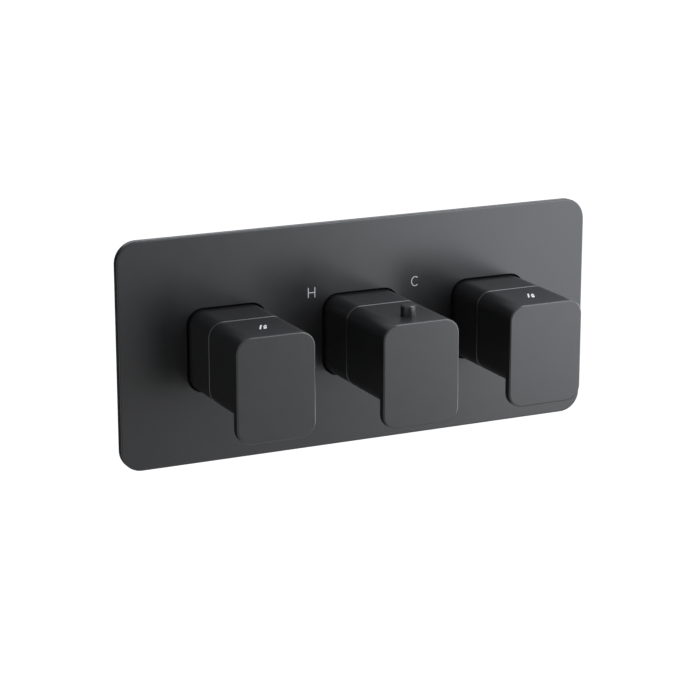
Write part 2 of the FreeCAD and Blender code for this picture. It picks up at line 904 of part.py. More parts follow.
def make_check_cage():
    bore = check_radius - check_wall
    stem_bore = poppet_stem_radius + running_fit
    cage = turned_up([(check_lip_bore, inlet_step), (check_radius, inlet_step), (check_radius, check_top),
                      (stem_bore, check_top), (stem_bore, check_top - check_spider),
                      (bore, check_top - check_spider), (bore, inlet_step + check_lip),
                      (check_lip_bore, inlet_step + check_lip)])
    hole = upright(check_spider_hole_radius, check_top - check_spider - overrun, check_top + overrun,
                   (stem_bore + bore) / 2, 0.0)
    for cut in ring_of(hole, check_spider_hole_count, Vector(), up):
        cage = cage.cut(cut)
    return cage


def make_poppet():
    low = inlet_step + check_lip + film
    high = low + poppet_thickness
    tip = check_top + poppet_stem_proud
    return turned_up([(0, low), (poppet_radius, low), (poppet_radius, high), (poppet_stem_radius, high),
                      (poppet_stem_radius, tip), (0, tip)])


def make_check_spring():
    low = inlet_step + check_lip + film + poppet_thickness
    return coil("check spring", check_spring_wire_radius, check_spring_radius, check_spring_turns,
                low, check_top - check_spider)


def make_strainer():
    strainer = upright(strainer_radius, strainer_seat, inlet_step, 0.0, 0.0)
    low = strainer_seat - overrun
    high = inlet_step + overrun
    holes = [upright(strainer_hole_radius, low, high, 0.0, 0.0)]
    for index in range(1, strainer_rings + 1):
        hole = upright(strainer_hole_radius, low, high, strainer_ring_pitch * index, 0.0)
        holes += ring_of(hole, hex_sides * index, Vector(), up)
    for hole in holes:
        strainer = strainer.cut(hole)
    return strainer


# Brass body

def unit_casting():
    edge = casting_radius - casting_chamfer
    return turned([(0, boss_front), (boss_radius - boss_chamfer, boss_front),
                   (boss_radius, boss_front + boss_chamfer), (boss_radius, boss_front + boss_length),
                   (casting_radius, boss_front + boss_length), (casting_radius, body_back - casting_chamfer),
                   (edge, body_back), (0, body_back)])


def port_cut(mouth, toward):
    """The threaded mouth of a port and its lead-in, cut upward or downward from the mouth."""
    rim = port_thread_radius + port_mouth_chamfer
    bottom = mouth + toward * port_thread_depth
    return turned_up([(0, mouth - toward * overrun), (rim, mouth - toward * overrun), (rim, mouth),
                      (port_thread_radius, mouth + toward * port_mouth_chamfer),
                      (port_thread_radius, bottom), (0, bottom)])


def flow_unit_cut():
    return [rod(bonnet_thread_radius + thread_fit, boss_front - overrun, grip_front),
            rod(cage_radius + thread_fit, grip_front - overrun, seat),
            rod(feed_radius, seat - overrun, gallery_line)]


def thermostat_cut():
    return [rod(thermostat_nut_radius + thread_fit, boss_front - overrun, barrel_start),
            rod(thermostat_barrel_radius + thread_fit, barrel_start - overrun, thermostat_bore_end),
            rod(mixing_radius, thermostat_bore_end - overrun, gallery_line)]


def make_body():
    solids = [moved(unit_casting(), x) for x in all_places.values()]
    solids.append(bridge(gallery_barrel_radius, -control_pitch, control_pitch, gallery_line))
    outlet_nut = spanner_nut(port_hex_flats, outlet_height - port_hex_height, outlet_height)
    for x in side_places.values():
        solids.append(upright(port_radius, 0.0, outlet_height, x, outlet_line))
        solids.append(moved(outlet_nut, x, outlet_line))
    inlet_nut = spanner_nut(port_hex_flats, inlet_mouth, inlet_mouth + port_hex_height)
    for x in inlet_places.values():
        solids.append(upright(port_radius, inlet_mouth, inlet_crown, x, inlet_line))
        solids.append(moved(inlet_nut, x, inlet_line))
    solids.append(bridge(cross_barrel_radius, -inlet_offset, 0.0, hot_line))
    solids.append(bridge(cross_barrel_radius, 0.0, inlet_offset, cold_line))
    body = solids[0].fuse(solids[1:])

    cuts = list(thermostat_cut())
    for x in side_places.values():
        cuts += [moved(cut, x) for cut in flow_unit_cut()]
        cuts.append(upright(port_passage_radius, 0.0, outlet_height, x, outlet_line))
        cuts.append(moved(port_cut(outlet_height, -1), x, outlet_line))
        cuts += [moved(screw_hole, x) for screw_hole in bracket_screw_holes()]
    for x in inlet_places.values():
        cuts.append(moved(port_cut(inlet_mouth, 1), x, inlet_line))
        cuts.append(upright(strainer_radius + strainer_fit, strainer_seat - overrun, inlet_step,
                            x, inlet_line))
        cuts.append(upright(check_radius + check_fit, inlet_step - overrun, check_top, x, inlet_line))
        cuts.append(upright(port_passage_radius, check_top - overrun, cross_passage_radius + passage_crown,
                            x, inlet_line))
    cuts.append(bridge(cross_passage_radius, -inlet_offset, 0.0, hot_line))
    cuts.append(bridge(cross_passage_radius, 0.0, inlet_offset, cold_line))
    past_end = gallery_end + overrun
    plug_start = gallery_end - plug_depth
    cuts.append(bridge(gallery_radius, -past_end, past_end, gallery_line))
    cuts.append(bridge(plug_radius + thread_fit, -past_end, -plug_start, gallery_line))
    cuts.append(bridge(plug_radius + thread_fit, plug_start, past_end, gallery_line))
    for cut in cuts:
        body = body.cut(cut)
    return body.removeSplitter()


def make_plug(side):
    """A threaded plug in the end of the drilled gallery, with a hexagon key recess."""
    plug = Part.makeCylinder(plug_radius, plug_depth, Vector(), across)
    key = hex_bar(plug_key, 0.0, plug_key_depth + overrun)
    key.rotate(Vector(), up, -quarter_turn)
    key.translate(Vector(plug_depth - plug_key_depth, 0, 0))
    plug = plug.cut(key)
    plug.translate(Vector(gallery_end - plug_depth, gallery_line, 0))
    if side == "left":
        plug.rotate(Vector(0, gallery_line, 0), up, half_turn)
    return plug


# Bracket

def bracket_screw_holes():
    depth = bracket_screw_length - bracket_thickness
    hole = rod(bracket_screw_radius + thread_fit, body_back - depth - overrun, body_back + overrun)
    return [moved(hole, 0.0, 0.0, z) for z in (-bracket_screw_spread, bracket_screw_spread)]


def make_bracket():
    low = -bracket_height / 2
    bracket = rounded_block(bracket_length, low, -low, bracket_corner, body_back, bracket_back)
    arm_top = arm_height / 2
    arm = rounded_block(arm_width, -arm_top, arm_top, bracket_corner, body_back, bracket_back)
    slot = rounded_slot((fixing_slot_length - 2 * fixing_slot_radius) / 2)
    for x in (-arm_offset, arm_offset):
        bracket = bracket.fuse(moved(arm, x))
        for z in (-fixing_spacing / 2, fixing_spacing / 2):
            bracket = bracket.cut(moved(slot, x, 0.0, z))
    mouth_radius = bracket_screw_head_radius + bracket_screw_fit
    hole = countersunk(bracket_screw_radius + bracket_screw_fit, mouth_radius)
    hole = hole.fuse(rod(mouth_radius, bracket_back - bracket_screw_sunk, bracket_back + overrun))
    for x in side_places.values():
        for z in (-bracket_screw_spread, bracket_screw_spread):
            bracket = bracket.cut(moved(hole, x, 0.0, z))
    return bracket.removeSplitter()


def rounded_slot(reach):
    front = body_back - overrun
    back = bracket_back + overrun
    middle = Part.makeBox(2 * reach, back - front, 2 * fixing_slot_radius,
                          Vector(-reach, front, -fixing_slot_radius))
    ends = [moved(rod(fixing_slot_radius, front, back), x) for x in (-reach, reach)]
    return middle.fuse(ends)


def countersunk(shank, head):
    """The outline of a screw or its hole, with a conical head flush with the bracket's back."""
    tip = bracket_back - bracket_screw_length
    neck = bracket_back - bracket_screw_sunk - bracket_screw_head
    top = bracket_back - bracket_screw_sunk
    return turned([(0, tip), (shank, tip), (shank, neck), (head, top), (0, top)])


def make_bracket_screw():
    screw = countersunk(bracket_screw_radius, bracket_screw_head_radius)
    slot_floor = bracket_back - bracket_screw_sunk - screw_slot_depth
    slot = Part.makeBox(2 * bracket_screw_head_radius, screw_slot_depth + overrun, screw_slot_width,
                        Vector(-bracket_screw_head_radius, slot_floor, -screw_slot_width / 2))
    return screw.cut(slot)


# Every piece in its place

def write_fixed_pieces():
    write("face_plate", make_plate())
    write("plate_seal", seal_strip(0.0, -plate_seal_depth))
    write("plate_hole_seals", *[moved(make_hole_seal(), x) for x in all_places.values()])
    write("shroud_o_rings", *[moved(make_shroud_ring(), x) for x in all_places.values()])
    for name, x in all_places.items():
        write(name + "_shroud", moved(make_shroud(), x))
        write(name + "_sleeve", moved(make_sleeve(), x))
    write("valve_body", make_body())
    write("gallery_plugs", make_plug("left"), make_plug("right"))
    write("mounting_bracket", make_bracket())
    write("bracket_screws", *[moved(make_bracket_screw(), x, 0.0, z) for x in side_places.values()
                              for z in (-bracket_screw_spread, bracket_screw_spread)])


def write_flow_controls():
    write("cartridge_base_seals", *[moved(make_base_seal(), x) for x in side_places.values()])
    for name, x in side_places.items():
        write(name + "_handle", moved(make_handle(flow_front, flow_hub_end), x))
        write(name + "_handle_screw", moved(make_set_screw(flow_hub_end), x))
        write(name + "_extension", moved(make_extension(flow_hub_end), x))
        write(name + "_spindle", moved(make_flow_spindle(), x))
        write(name + "_spindle_o_ring", moved(make_spindle_ring(), x))
        write(name + "_cartridge_bonnet", moved(make_bonnet(), x))
        write(name + "_moving_disc", moved(make_moving_disc(), x))
        write(name + "_fixed_disc", moved(make_fixed_disc(), x))


def write_temperature_control():
    write("temperature_handle", make_temperature_handle())
    write("temperature_handle_screw", make_set_screw(temperature_hub_end))
    write("temperature_extension", make_extension(temperature_hub_end))
    write("stop_button", make_button())
    write("stop_button_collar", make_button_collar())
    write("stop_button_spring", make_button_spring())
    write("temperature_stop_sleeve", make_stop_sleeve())
    write("thermostat_spindle", make_thermostat_spindle())
    write("thermostat_spindle_o_ring", make_spindle_ring())
    write("thermostat_housing", make_thermostat_housing())
    write("thermostat_o_rings", *[make_barrel_ring(line) for line in barrel_ring_lines()])
    write("thermostat_nut", make_thermostat_nut())
    write("regulating_nut", make_regulating_nut())
    write("overtravel_spring", make_overtravel_spring())
    write("wax_element", make_wax_element())
    write("shuttle", make_shuttle())
    write("return_spring", make_return_spring())
    write("thermostat_end_ring", make_end_ring())


def write_check_valves():
    for name, x in inlet_places.items():
        write(name + "_check_cage", moved(make_check_cage(), x, inlet_line))
        write(name + "_check_poppet", moved(make_poppet(), x, inlet_line))
        write(name + "_check_spring", moved(make_check_spring(), x, inlet_line))
        write(name + "_strainer", moved(make_strainer(), x, inlet_line))


os.makedirs("parts", exist_ok=True)
write_fixed_pieces()
write_flow_controls()
write_temperature_control()
write_check_valves()
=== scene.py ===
import json
import math

import bmesh
import bpy
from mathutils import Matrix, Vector


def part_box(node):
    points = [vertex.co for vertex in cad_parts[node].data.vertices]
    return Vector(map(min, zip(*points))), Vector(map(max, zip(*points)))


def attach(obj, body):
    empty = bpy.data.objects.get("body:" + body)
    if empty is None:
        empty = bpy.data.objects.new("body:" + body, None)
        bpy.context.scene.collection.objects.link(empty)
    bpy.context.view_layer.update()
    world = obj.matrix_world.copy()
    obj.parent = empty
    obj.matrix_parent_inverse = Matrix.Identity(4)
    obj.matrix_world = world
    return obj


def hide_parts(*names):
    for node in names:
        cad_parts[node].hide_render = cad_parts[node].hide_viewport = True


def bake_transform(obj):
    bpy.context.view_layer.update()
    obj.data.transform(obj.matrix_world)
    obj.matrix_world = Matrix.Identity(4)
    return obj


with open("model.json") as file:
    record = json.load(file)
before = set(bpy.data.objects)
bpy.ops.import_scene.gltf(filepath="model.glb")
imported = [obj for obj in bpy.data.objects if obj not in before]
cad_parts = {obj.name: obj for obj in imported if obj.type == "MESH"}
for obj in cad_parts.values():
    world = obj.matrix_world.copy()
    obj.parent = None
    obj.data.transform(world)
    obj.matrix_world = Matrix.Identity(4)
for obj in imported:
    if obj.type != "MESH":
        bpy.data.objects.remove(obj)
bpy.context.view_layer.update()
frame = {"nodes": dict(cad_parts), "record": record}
nodes = frame["nodes"]
record = frame["record"]

MM = 0.001

# Places read from the frame
plate_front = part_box("face_plate")[0].y
handle_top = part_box("left_handle")[1].z
handle_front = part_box("left_handle")[0].y
left_centre = (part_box("left_handle")[0].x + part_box("left_handle")[1].x) / 2
right_centre = (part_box("right_handle")[0].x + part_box("right_handle")[1].x) / 2
mounts = {mount["name"]: mount for mount in record["mounts"]}

# Face plate: its corners' radii as built and as seen, and what moves between them
half_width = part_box("face_plate")[1].x
half_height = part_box("face_plate")[1].z
plain_corner = 14.0 * MM
tight_corner = 11.4 * MM
corner_core = 9.0 * MM
corner_rim = 1.0 * MM

# Where the plate's recesses lie, whose faces get painted shade
recess_below = plate_front + 0.3 * MM
recess_above = -0.5 * MM
recess_reach = 30.0 * MM

# Printed marks
print_proud = 0.05 * MM
print_sunk = 0.02 * MM
ink_dark_share = 0.92
ink_light_share = 1.06
letter_height = 5.4 * MM
letter_width = 4.2 * MM
letter_stroke = 0.46 * MM
letter_shift_share = 0.125
letter_opening = 52.0
letter_steps = 28
hot_place = -28.4 * MM
cold_place = 31.4 * MM
letter_rise = 23.9 * MM
icon_setback = 17.8 * MM
icon_length = 6.6 * MM
icon_lean_share = 0.5
icon_stroke = 0.8 * MM
icon_shift = -0.6 * MM
head_length = 0.6 * MM
drop_radius = 0.95 * MM
drop_long_share = 1.6
drop_tip_share = 1.9
drop_shoulder = 30.0
left_drops = [(2.6 * MM, 0.4 * MM), (1.5 * MM, -2.2 * MM)]
right_drops = [(2.5 * MM, 0.2 * MM), (1.2 * MM, -2.8 * MM)]

# Pipe threads, half-inch parallel
thread_pitch = 1.814 * MM
thread_depth = 0.42 * MM
thread_sunk = 0.05 * MM
thread_root_share = 0.74
thread_crest_share = 0.22
thread_steps = 48
thread_runout_share = 0.5

# Parts of the body's casting that are machined
machined_above = 33.9 * MM
machined_below = -45.9 * MM
machined_before = 24.05 * MM
skin_roughness = 0.2

# Springs along y or z: the bodies at their low and high ends
upright = Vector((0.0, 0.0, 1.0))
inward = Vector((0.0, 1.0, 0.0))
springs = [
    ("stop_button_spring", upright, "temperature_control", "button"),
    ("hot_check_spring", upright, "hot_check", "wall_unit"),
    ("cold_check_spring", upright, "cold_check", "wall_unit"),
    ("overtravel_spring", inward, "regulator", "mixing_shuttle"),
]

# Camera
camera_place = Vector((-511.9, -1060.7, 305.5)) * MM
camera_yaw = 25.57
camera_pitch = 15.05
camera_lens = 118.46
camera_sensor = 36.0

# Floor and surroundings
floor_reach = 40.0
floor_drop = -1.6
floor_glow = 0.76
world_level = 0.38
daylight = (0.925, 0.95, 1.0)

# Light panels: place, width, height and brightness
panel_target = (0.0, -0.03, 0.0)
panels = [
    ("right_panel", (0.74, -0.68, 0.14), 0.8, 1.0, 4.2),
    ("top_panel", (0.65, -0.45, 0.95), 0.75, 0.7, 6.8),
    ("rim_panel", (1.0, 0.12, -0.1), 0.6, 0.9, 4.25),
]

# Dark boards: depth, left, right, low and high edges
boards_back = 0.25
boards_front = -0.9
boards = [
    ("left_board", boards_back, -1.1, -0.16, -0.7, 0.5),
    ("low_board", boards_back, -0.16, 0.7, -0.7, -0.15),
    ("front_board", boards_front, -0.35, 0.08, -0.7, 0.2),
]

# Stretch of a cloudy pattern that colours and roughness use
pattern_low = 0.3
pattern_high = 0.7


# Building materials from nodes

def finish(name, color, roughness, metallic=0.0):
    """A new material with one surface shader, and that shader."""
    material = bpy.data.materials.new(name)
    material.use_nodes = True
    surface = material.node_tree.nodes["Principled BSDF"]
    surface.inputs["Base Color"].default_value = (*color, 1.0)
    surface.inputs["Roughness"].default_value = roughness
    surface.inputs["Metallic"].default_value = metallic
    return material, surface


def grain(material, size, stretch=(1.0, 1.0, 1.0), detail=2.0):
    """A cloudy pattern fixed to the piece, with features of a given size in metres."""
    tree = material.node_tree
    place = tree.nodes.new("ShaderNodeTexCoord")
    mapping = tree.nodes.new("ShaderNodeMapping")
    mapping.inputs["Scale"].default_value = [1.0 / (size * way) for way in stretch]
    noise = tree.nodes.new("ShaderNodeTexNoise")
    noise.inputs["Scale"].default_value = 1.0
    noise.inputs["Detail"].default_value = detail
    tree.links.new(place.outputs["Object"], mapping.inputs["Vector"])
    tree.links.new(mapping.outputs["Vector"], noise.inputs["Vector"])
    return noise.outputs["Fac"]


def spread(material, socket, low, high):
    """The pattern's middle stretch spread from one value to another."""
    tree = material.node_tree
    span = tree.nodes.new("ShaderNodeMapRange")
    span.inputs["From Min"].default_value = pattern_low
    span.inputs["From Max"].default_value = pattern_high
    span.inputs["To Min"].default_value = low
    span.inputs["To Max"].default_value = high
    tree.links.new(socket, span.inputs["Value"])
    return span.outputs["Result"]


def combined(owner, operation, first, second):
    """Two sockets, or a socket and a number, put together by a sum or a test."""
    tree = owner.node_tree
    node = tree.nodes.new("ShaderNodeMath")
    node.operation = operation
    for value, socket in zip((first, second), node.inputs):
        if isinstance(value, float):
            socket.default_value = value
        else:
            tree.links.new(value, socket)
    return node.outputs["Value"]


def looked_at(owner):
    """One for rays that look at a surface, and zero for rays that only light it."""
    path = owner.node_tree.nodes.new("ShaderNodeLightPath")
    seen = combined(owner, "MAXIMUM", path.outputs["Is Camera Ray"], path.outputs["Is Glossy Ray"])
    return combined(owner, "MAXIMUM", seen, path.outputs["Is Transmission Ray"])


def tinted(material, surface, socket, dark, light):
    """Colour the surface between two colours by a pattern."""
    tree = material.node_tree
    ramp = tree.nodes.new("ShaderNodeValToRGB")
    ramp.color_ramp.elements[0].position = pattern_low
    ramp.color_ramp.elements[0].color = (*dark, 1.0)
    ramp.color_ramp.elements[1].position = pattern_high
    ramp.color_ramp.elements[1].color = (*light, 1.0)
    tree.links.new(socket, ramp.inputs["Fac"])
    tree.links.new(ramp.outputs["Color"], surface.inputs["Base Color"])


def roughened(material, surface, socket, low, high):
    """Vary the surface's roughness by a pattern."""
    material.node_tree.links.new(spread(material, socket, low, high), surface.inputs["Roughness"])


def relief(material, surface, socket, depth):
    """Raise the surface by a pattern, to a given depth in metres."""
    tree = material.node_tree
    bump = tree.nodes.new("ShaderNodeBump")
    bump.inputs["Distance"].default_value = depth
    tree.links.new(socket, bump.inputs["Height"])
    tree.links.new(bump.outputs["Normal"], surface.inputs["Normal"])


# Materials

def make_coat():
    """Satin black coat, with the fine grain of sprayed paint."""
    material, surface = finish("satin_black_coat", (0.0106, 0.0106, 0.0112), 0.32)
    surface.inputs["Specular IOR Level"].default_value = 0.5
    cloud = grain(material, 9.0 * MM, detail=3.0)
    tinted(material, surface, cloud, (0.0095, 0.0095, 0.01), (0.0118, 0.0118, 0.0124))
    roughened(material, surface, cloud, 0.31, 0.33)
    relief(material, surface, grain(material, 0.35 * MM), 0.003 * MM)
    return material


def make_recess_shade():
    """Near-black matt paint for the faces in the plate's recesses: painted shade that darkens the gap
    round each shroud's foot.
    """
    material, surface = finish("painted_recess_shade", (0.003, 0.003, 0.003), 0.9)
    surface.inputs["Specular IOR Level"].default_value = 0.15
    specks = grain(material, 0.5 * MM, detail=3.0)
    tinted(material, surface, specks, (0.002, 0.002, 0.002), (0.004, 0.004, 0.004))
    return material


def machined_share(material):
    """One on the machined ends of the body's casting, and zero on its cast skin."""
    tree = material.node_tree
    place = tree.nodes.new("ShaderNodeTexCoord")
    split = tree.nodes.new("ShaderNodeSeparateXYZ")
    tree.links.new(place.outputs["Object"], split.inputs["Vector"])
    above = combined(material, "GREATER_THAN", split.outputs["Z"], machined_above)
    below = combined(material, "LESS_THAN", split.outputs["Z"], machined_below)
    before = combined(material, "LESS_THAN", split.outputs["Y"], machined_before)
    ends = combined(material, "MAXIMUM", above, below)
    return combined(material, "MAXIMUM", ends, before)


def make_cast_brass():
    """Sand-cast brass with machined bosses and hexagons."""
    material, surface = finish("cast_brass", (0.58, 0.42, 0.19), 0.4, metallic=1.0)
    film = grain(material, 12.0 * MM, detail=5.0)
    tinted(material, surface, film, (0.47, 0.33, 0.15), (0.63, 0.47, 0.23))
    skin = combined(material, "SUBTRACT", 1.0, machined_share(material))
    rough_skin = combined(material, "MULTIPLY", skin, skin_roughness)
    smooth = spread(material, film, 0.34, 0.24)
    tree = material.node_tree
    tree.links.new(combined(material, "ADD", smooth, rough_skin), surface.inputs["Roughness"])
    sand = combined(material, "MULTIPLY", grain(material, 0.8 * MM, detail=4.0), skin)
    relief(material, surface, sand, 0.09 * MM)
    return material


def make_turned_brass():
    """Brass with the fine rings of a lathe tool round the y axis."""
    material, surface = finish("turned_brass", (0.62, 0.46, 0.21), 0.28, metallic=1.0)
    rings = grain(material, 0.22 * MM, stretch=(400.0, 1.0, 400.0))
    tinted(material, surface, rings, (0.55, 0.40, 0.18), (0.67, 0.51, 0.25))
    roughened(material, surface, rings, 0.22, 0.34)
    relief(material, surface, rings, 0.006 * MM)
    return material


def make_steel():
    """Brushed stainless steel, with its brush lines along x."""
    material, surface = finish("stainless_steel", (0.55, 0.55, 0.54), 0.3, metallic=1.0)
    lines = grain(material, 0.4 * MM, stretch=(60.0, 1.0, 1.0))
    tinted(material, surface, lines, (0.46, 0.46, 0.455), (0.60, 0.60, 0.59))
    roughened(material, surface, lines, 0.29, 0.38)
    relief(material, surface, lines, 0.004 * MM)
    return material


def make_rubber():
    """Black sealing rubber."""
    material, surface = finish("black_rubber", (0.02, 0.02, 0.02), 0.6)
    specks = grain(material, 0.5 * MM, detail=4.0)
    tinted(material, surface, specks, (0.016, 0.016, 0.016), (0.03, 0.03, 0.03))
    relief(material, surface, specks, 0.01 * MM)
    return material


def make_ceramic():
    """Ground white ceramic."""
    material, surface = finish("white_ceramic", (0.80, 0.78, 0.72), 0.15)
    specks = grain(material, 0.8 * MM, detail=3.0)
    tinted(material, surface, specks, (0.76, 0.74, 0.68), (0.82, 0.80, 0.75))
    roughened(material, surface, specks, 0.12, 0.2)
    return material


def make_plastic():
    """Moulded white plastic."""
    material, surface = finish("white_plastic", (0.70, 0.70, 0.67), 0.42)
    cloud = grain(material, 3.0 * MM, detail=3.0)
    tinted(material, surface, cloud, (0.66, 0.66, 0.63), (0.72, 0.72, 0.69))
    relief(material, surface, grain(material, 0.25 * MM), 0.004 * MM)
    return material


def make_copper():
    """Drawn copper with a light film."""
    material, surface = finish("copper", (0.62, 0.30, 0.16), 0.3, metallic=1.0)
    film = grain(material, 4.0 * MM, detail=4.0)
    tinted(material, surface, film, (0.52, 0.24, 0.12), (0.70, 0.36, 0.21))
    roughened(material, surface, film, 0.24, 0.36)
    return material


def make_print(name, level):
    """Screen-printed pale ink, a little uneven."""
    material, surface = finish(name, (level, level, level), 0.5)
    specks = grain(material, 0.25 * MM, detail=3.0)
    tinted(material, surface, specks, [level * ink_dark_share] * 3, [level * ink_light_share] * 3)
    return material


finishes = {
    "matte_black": make_coat(),
    "brass": make_turned_brass(),
    "steel": make_steel(),
    "black_rubber": make_rubber(),
    "ceramic": make_ceramic(),
    "white_plastic": make_plastic(),
    "copper": make_copper(),
}
cast_brass = make_cast_brass()
# Near-black matt paint for the plate's recesses: painted shade
recess_shade = make_recess_shade()
grey_print = make_print("grey_print", 0.52)
white_print = make_print("white_print", 0.88)


# Finishes on the construction's own pieces

for subpart in record["subparts"]:
    mesh = nodes[subpart["node"]].data
    mesh.materials.clear()
    mesh.materials.append(finishes[subpart["material_slot"]])
nodes["valve_body"].data.materials[0] = cast_brass


# Added pieces

def add_piece(name, shape, material, body):
    """Turn a built shape into a piece that rides on a body."""
    bmesh.ops.recalc_face_normals(shape, faces=shape.faces)
    mesh = bpy.data.meshes.new(name)
    shape.to_mesh(mesh)
    shape.free()
    mesh.materials.append(material)
    piece = bpy.data.objects.new(name, mesh)
    bpy.context.scene.collection.objects.link(piece)
    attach(piece, body)
    return piece


# Face plate

def outline_reach(way):
    """How far the tight outline lies from the plain corner's centre, in a direction."""
    shift = plain_corner - tight_corner
    if min(way) * plain_corner <= max(way) * shift:
        return plain_corner / max(way)
    along = shift * sum(way)
    return along + math.sqrt(along ** 2 - 2 * shift ** 2 + tight_corner ** 2)


def tightened(place):
    """A point of the plate, moved out with the outline if it lies near a corner's rim."""
    across = abs(place.x) - half_width + plain_corner
    up = abs(place.z) - half_height + plain_corner
    reach = math.hypot(across, up)
    if min(across, up) <= 0.0 or reach <= corner_core:
        return place
    way = (across / reach, up / reach)
    share = min((reach - corner_core) / (plain_corner - corner_rim - corner_core), 1.0)
    grow = (outline_reach(way) - plain_corner) * share
    return place + Vector((math.copysign(way[0], place.x), 0.0, math.copysign(way[1], place.z))) * grow


def faced(normal, place):
    """A normal of the plate's rim, turned to face out of the tight outline at a moved point."""
    across = max(abs(place.x) - half_width + tight_corner, 0.0)
    up = max(abs(place.z) - half_height + tight_corner, 0.0)
    level = math.hypot(normal.x, normal.z)
    out = Vector((math.copysign(across, place.x), math.copysign(up, place.z))).normalized() * level
    return Vector((out.x, normal.y, out.y))


def add_plate():
    """The plate with tight corners and painted shade in its recesses, in place of the construction's."""
    mesh = nodes["face_plate"].data.copy()
    mesh.name = "tight_face_plate"
    mesh.materials.append(recess_shade)
    normals = [corner.vector.copy() for corner in mesh.corner_normals]
    moved = {}
    for vertex in mesh.vertices:
        place = tightened(vertex.co)
        if place != vertex.co:
            moved[vertex.index] = place.copy()
    for index, place in moved.items():
        mesh.vertices[index].co = place
    for loop in mesh.loops:
        if loop.vertex_index in moved:
            normals[loop.index] = faced(normals[loop.index], moved[loop.vertex_index])
    mesh.normals_split_custom_set(normals)
    # Faces inside the recesses round the shroud feet take the near-black paint, painted shade that
    # deepens the dark ring there
    for face in mesh.polygons:
        inside = abs(face.center.x) < half_width - plain_corner and abs(face.center.z) < recess_reach
        if inside and recess_below < face.center.y < recess_above:
            face.material_index = 1
    plate = bpy.data.objects.new("tight_face_plate", mesh)
    bpy.context.scene.collection.objects.link(plate)
    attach(plate, "wall_unit")
    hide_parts("face_plate")


# Printed marks

def printed(name, outlines, to_place, material, body):
    """Thin printed shapes, one for each closed outline of (across, up) points."""
    shape = bmesh.new()
    for outline in outlines:
        base = [shape.verts.new(to_place(across, up, -print_sunk)) for across, up in outline]
        top = [shape.verts.new(to_place(across, up, print_proud)) for across, up in outline]
        shape.faces.new(base)
        shape.faces.new(top)
        for index in range(len(outline)):
            after = (index + 1) % len(outline)
            shape.faces.new((base[index], base[after], top[after], top[index]))
    add_piece(name, shape, material, body)


def ribbon(line, width, cap_steps=6):
    """The outline of a stroke of even width along a line, with round ends."""
    points = [Vector(point) for point in line]
    half = width / 2
    sides = []
    for index, point in enumerate(points):
        before = points[max(index - 1, 0)]
        after = points[min(index + 1, len(points) - 1)]
        way = (after - before).normalized()
        sides.append((point, way, Vector((-way.y, way.x))))
    outline = []
    for ends, turn in ((sides, 1), (sides[::-1], -1)):
        outline += [point + side * turn * half for point, way, side in ends]
        point, way, side = ends[-1]
        for step in range(1, cap_steps):
            angle = math.pi * step / cap_steps
            outline.append(point + (side * math.cos(angle) + way * math.sin(angle)) * turn * half)
    return [tuple(point) for point in outline]


def arc(centre, radii, start, end, steps=16):
    """Points on a stretch of an ellipse, by angles in degrees."""
    points = []
    for step in range(steps + 1):
        turn = math.radians(start + (end - start) * step / steps)
        points.append((centre[0] + radii[0] * math.cos(turn), centre[1] + radii[1] * math.sin(turn)))
    return points


def letter_h():
    """The outline of an H about its centre."""
    side = letter_width / 2
    high = letter_height / 2
    inner = side - letter_stroke
    bar = letter_stroke / 2
    return [(-side, -high), (-inner, -high), (-inner, -bar), (inner, -bar), (inner, -high), (side, -high),
            (side, high), (inner, high), (inner, bar), (-inner, bar), (-inner, high), (-side, high)]


def letter_c():
    """The outline of a C about its centre."""
    reach = (letter_height - letter_stroke) / 2
    radii = (letter_width / 2, reach)
    centre = (letter_width * letter_shift_share, 0.0)
    line = arc(centre, radii, letter_opening, 360.0 - letter_opening, letter_steps)
    return ribbon(line, letter_stroke)


def drop(across, up):
    """The outline of a water drop that leans as the hand shower does."""
    long_radius = drop_radius * drop_long_share
    belly = arc((0.0, 0.0), (drop_radius, long_radius), 180.0 - drop_shoulder, 360.0 + drop_shoulder)
    tip = (0.0, long_radius * drop_tip_share)
    return [(across + x + y * icon_lean_share, up + y) for x, y in belly + [tip]]


def hand_shower():
    """The outline of a leaning hand shower, as one bent stroke."""
    low = -icon_length / 2
    neck = icon_length / 3
    line = [(low * icon_lean_share, low), (0.0, 0.0), (neck * icon_lean_share, neck),
            (neck * icon_lean_share + head_length, icon_length / 2)]
    return ribbon(line, icon_stroke)


def on_plate(x):
    """Places on the plate's front, about a letter's centre."""
    def place(across, up, proud):
        return Vector((x + across, plate_front - proud, letter_rise + up))
    return place


def on_handle(x):
    """Places on a handle's top, about its pictogram's centre, as read from the room."""
    def place(across, up, proud):
        return Vector((x + icon_shift + across, handle_front + icon_setback + up, handle_top + proud))
    return place


def add_marks():
    """The letters on the plate and a pictogram on each outer handle."""
    printed("mark_hot", [letter_h()], on_plate(hot_place), grey_print, "wall_unit")
    printed("mark_cold", [letter_c()], on_plate(cold_place), grey_print, "wall_unit")
    for side, x, drops in (("left", left_centre, left_drops), ("right", right_centre, right_drops)):
        outlines = [hand_shower()] + [drop(across, up) for across, up in drops]
        printed("mark_" + side + "_outlet", outlines, on_handle(x), white_print, side + "_control")


# Pipe threads

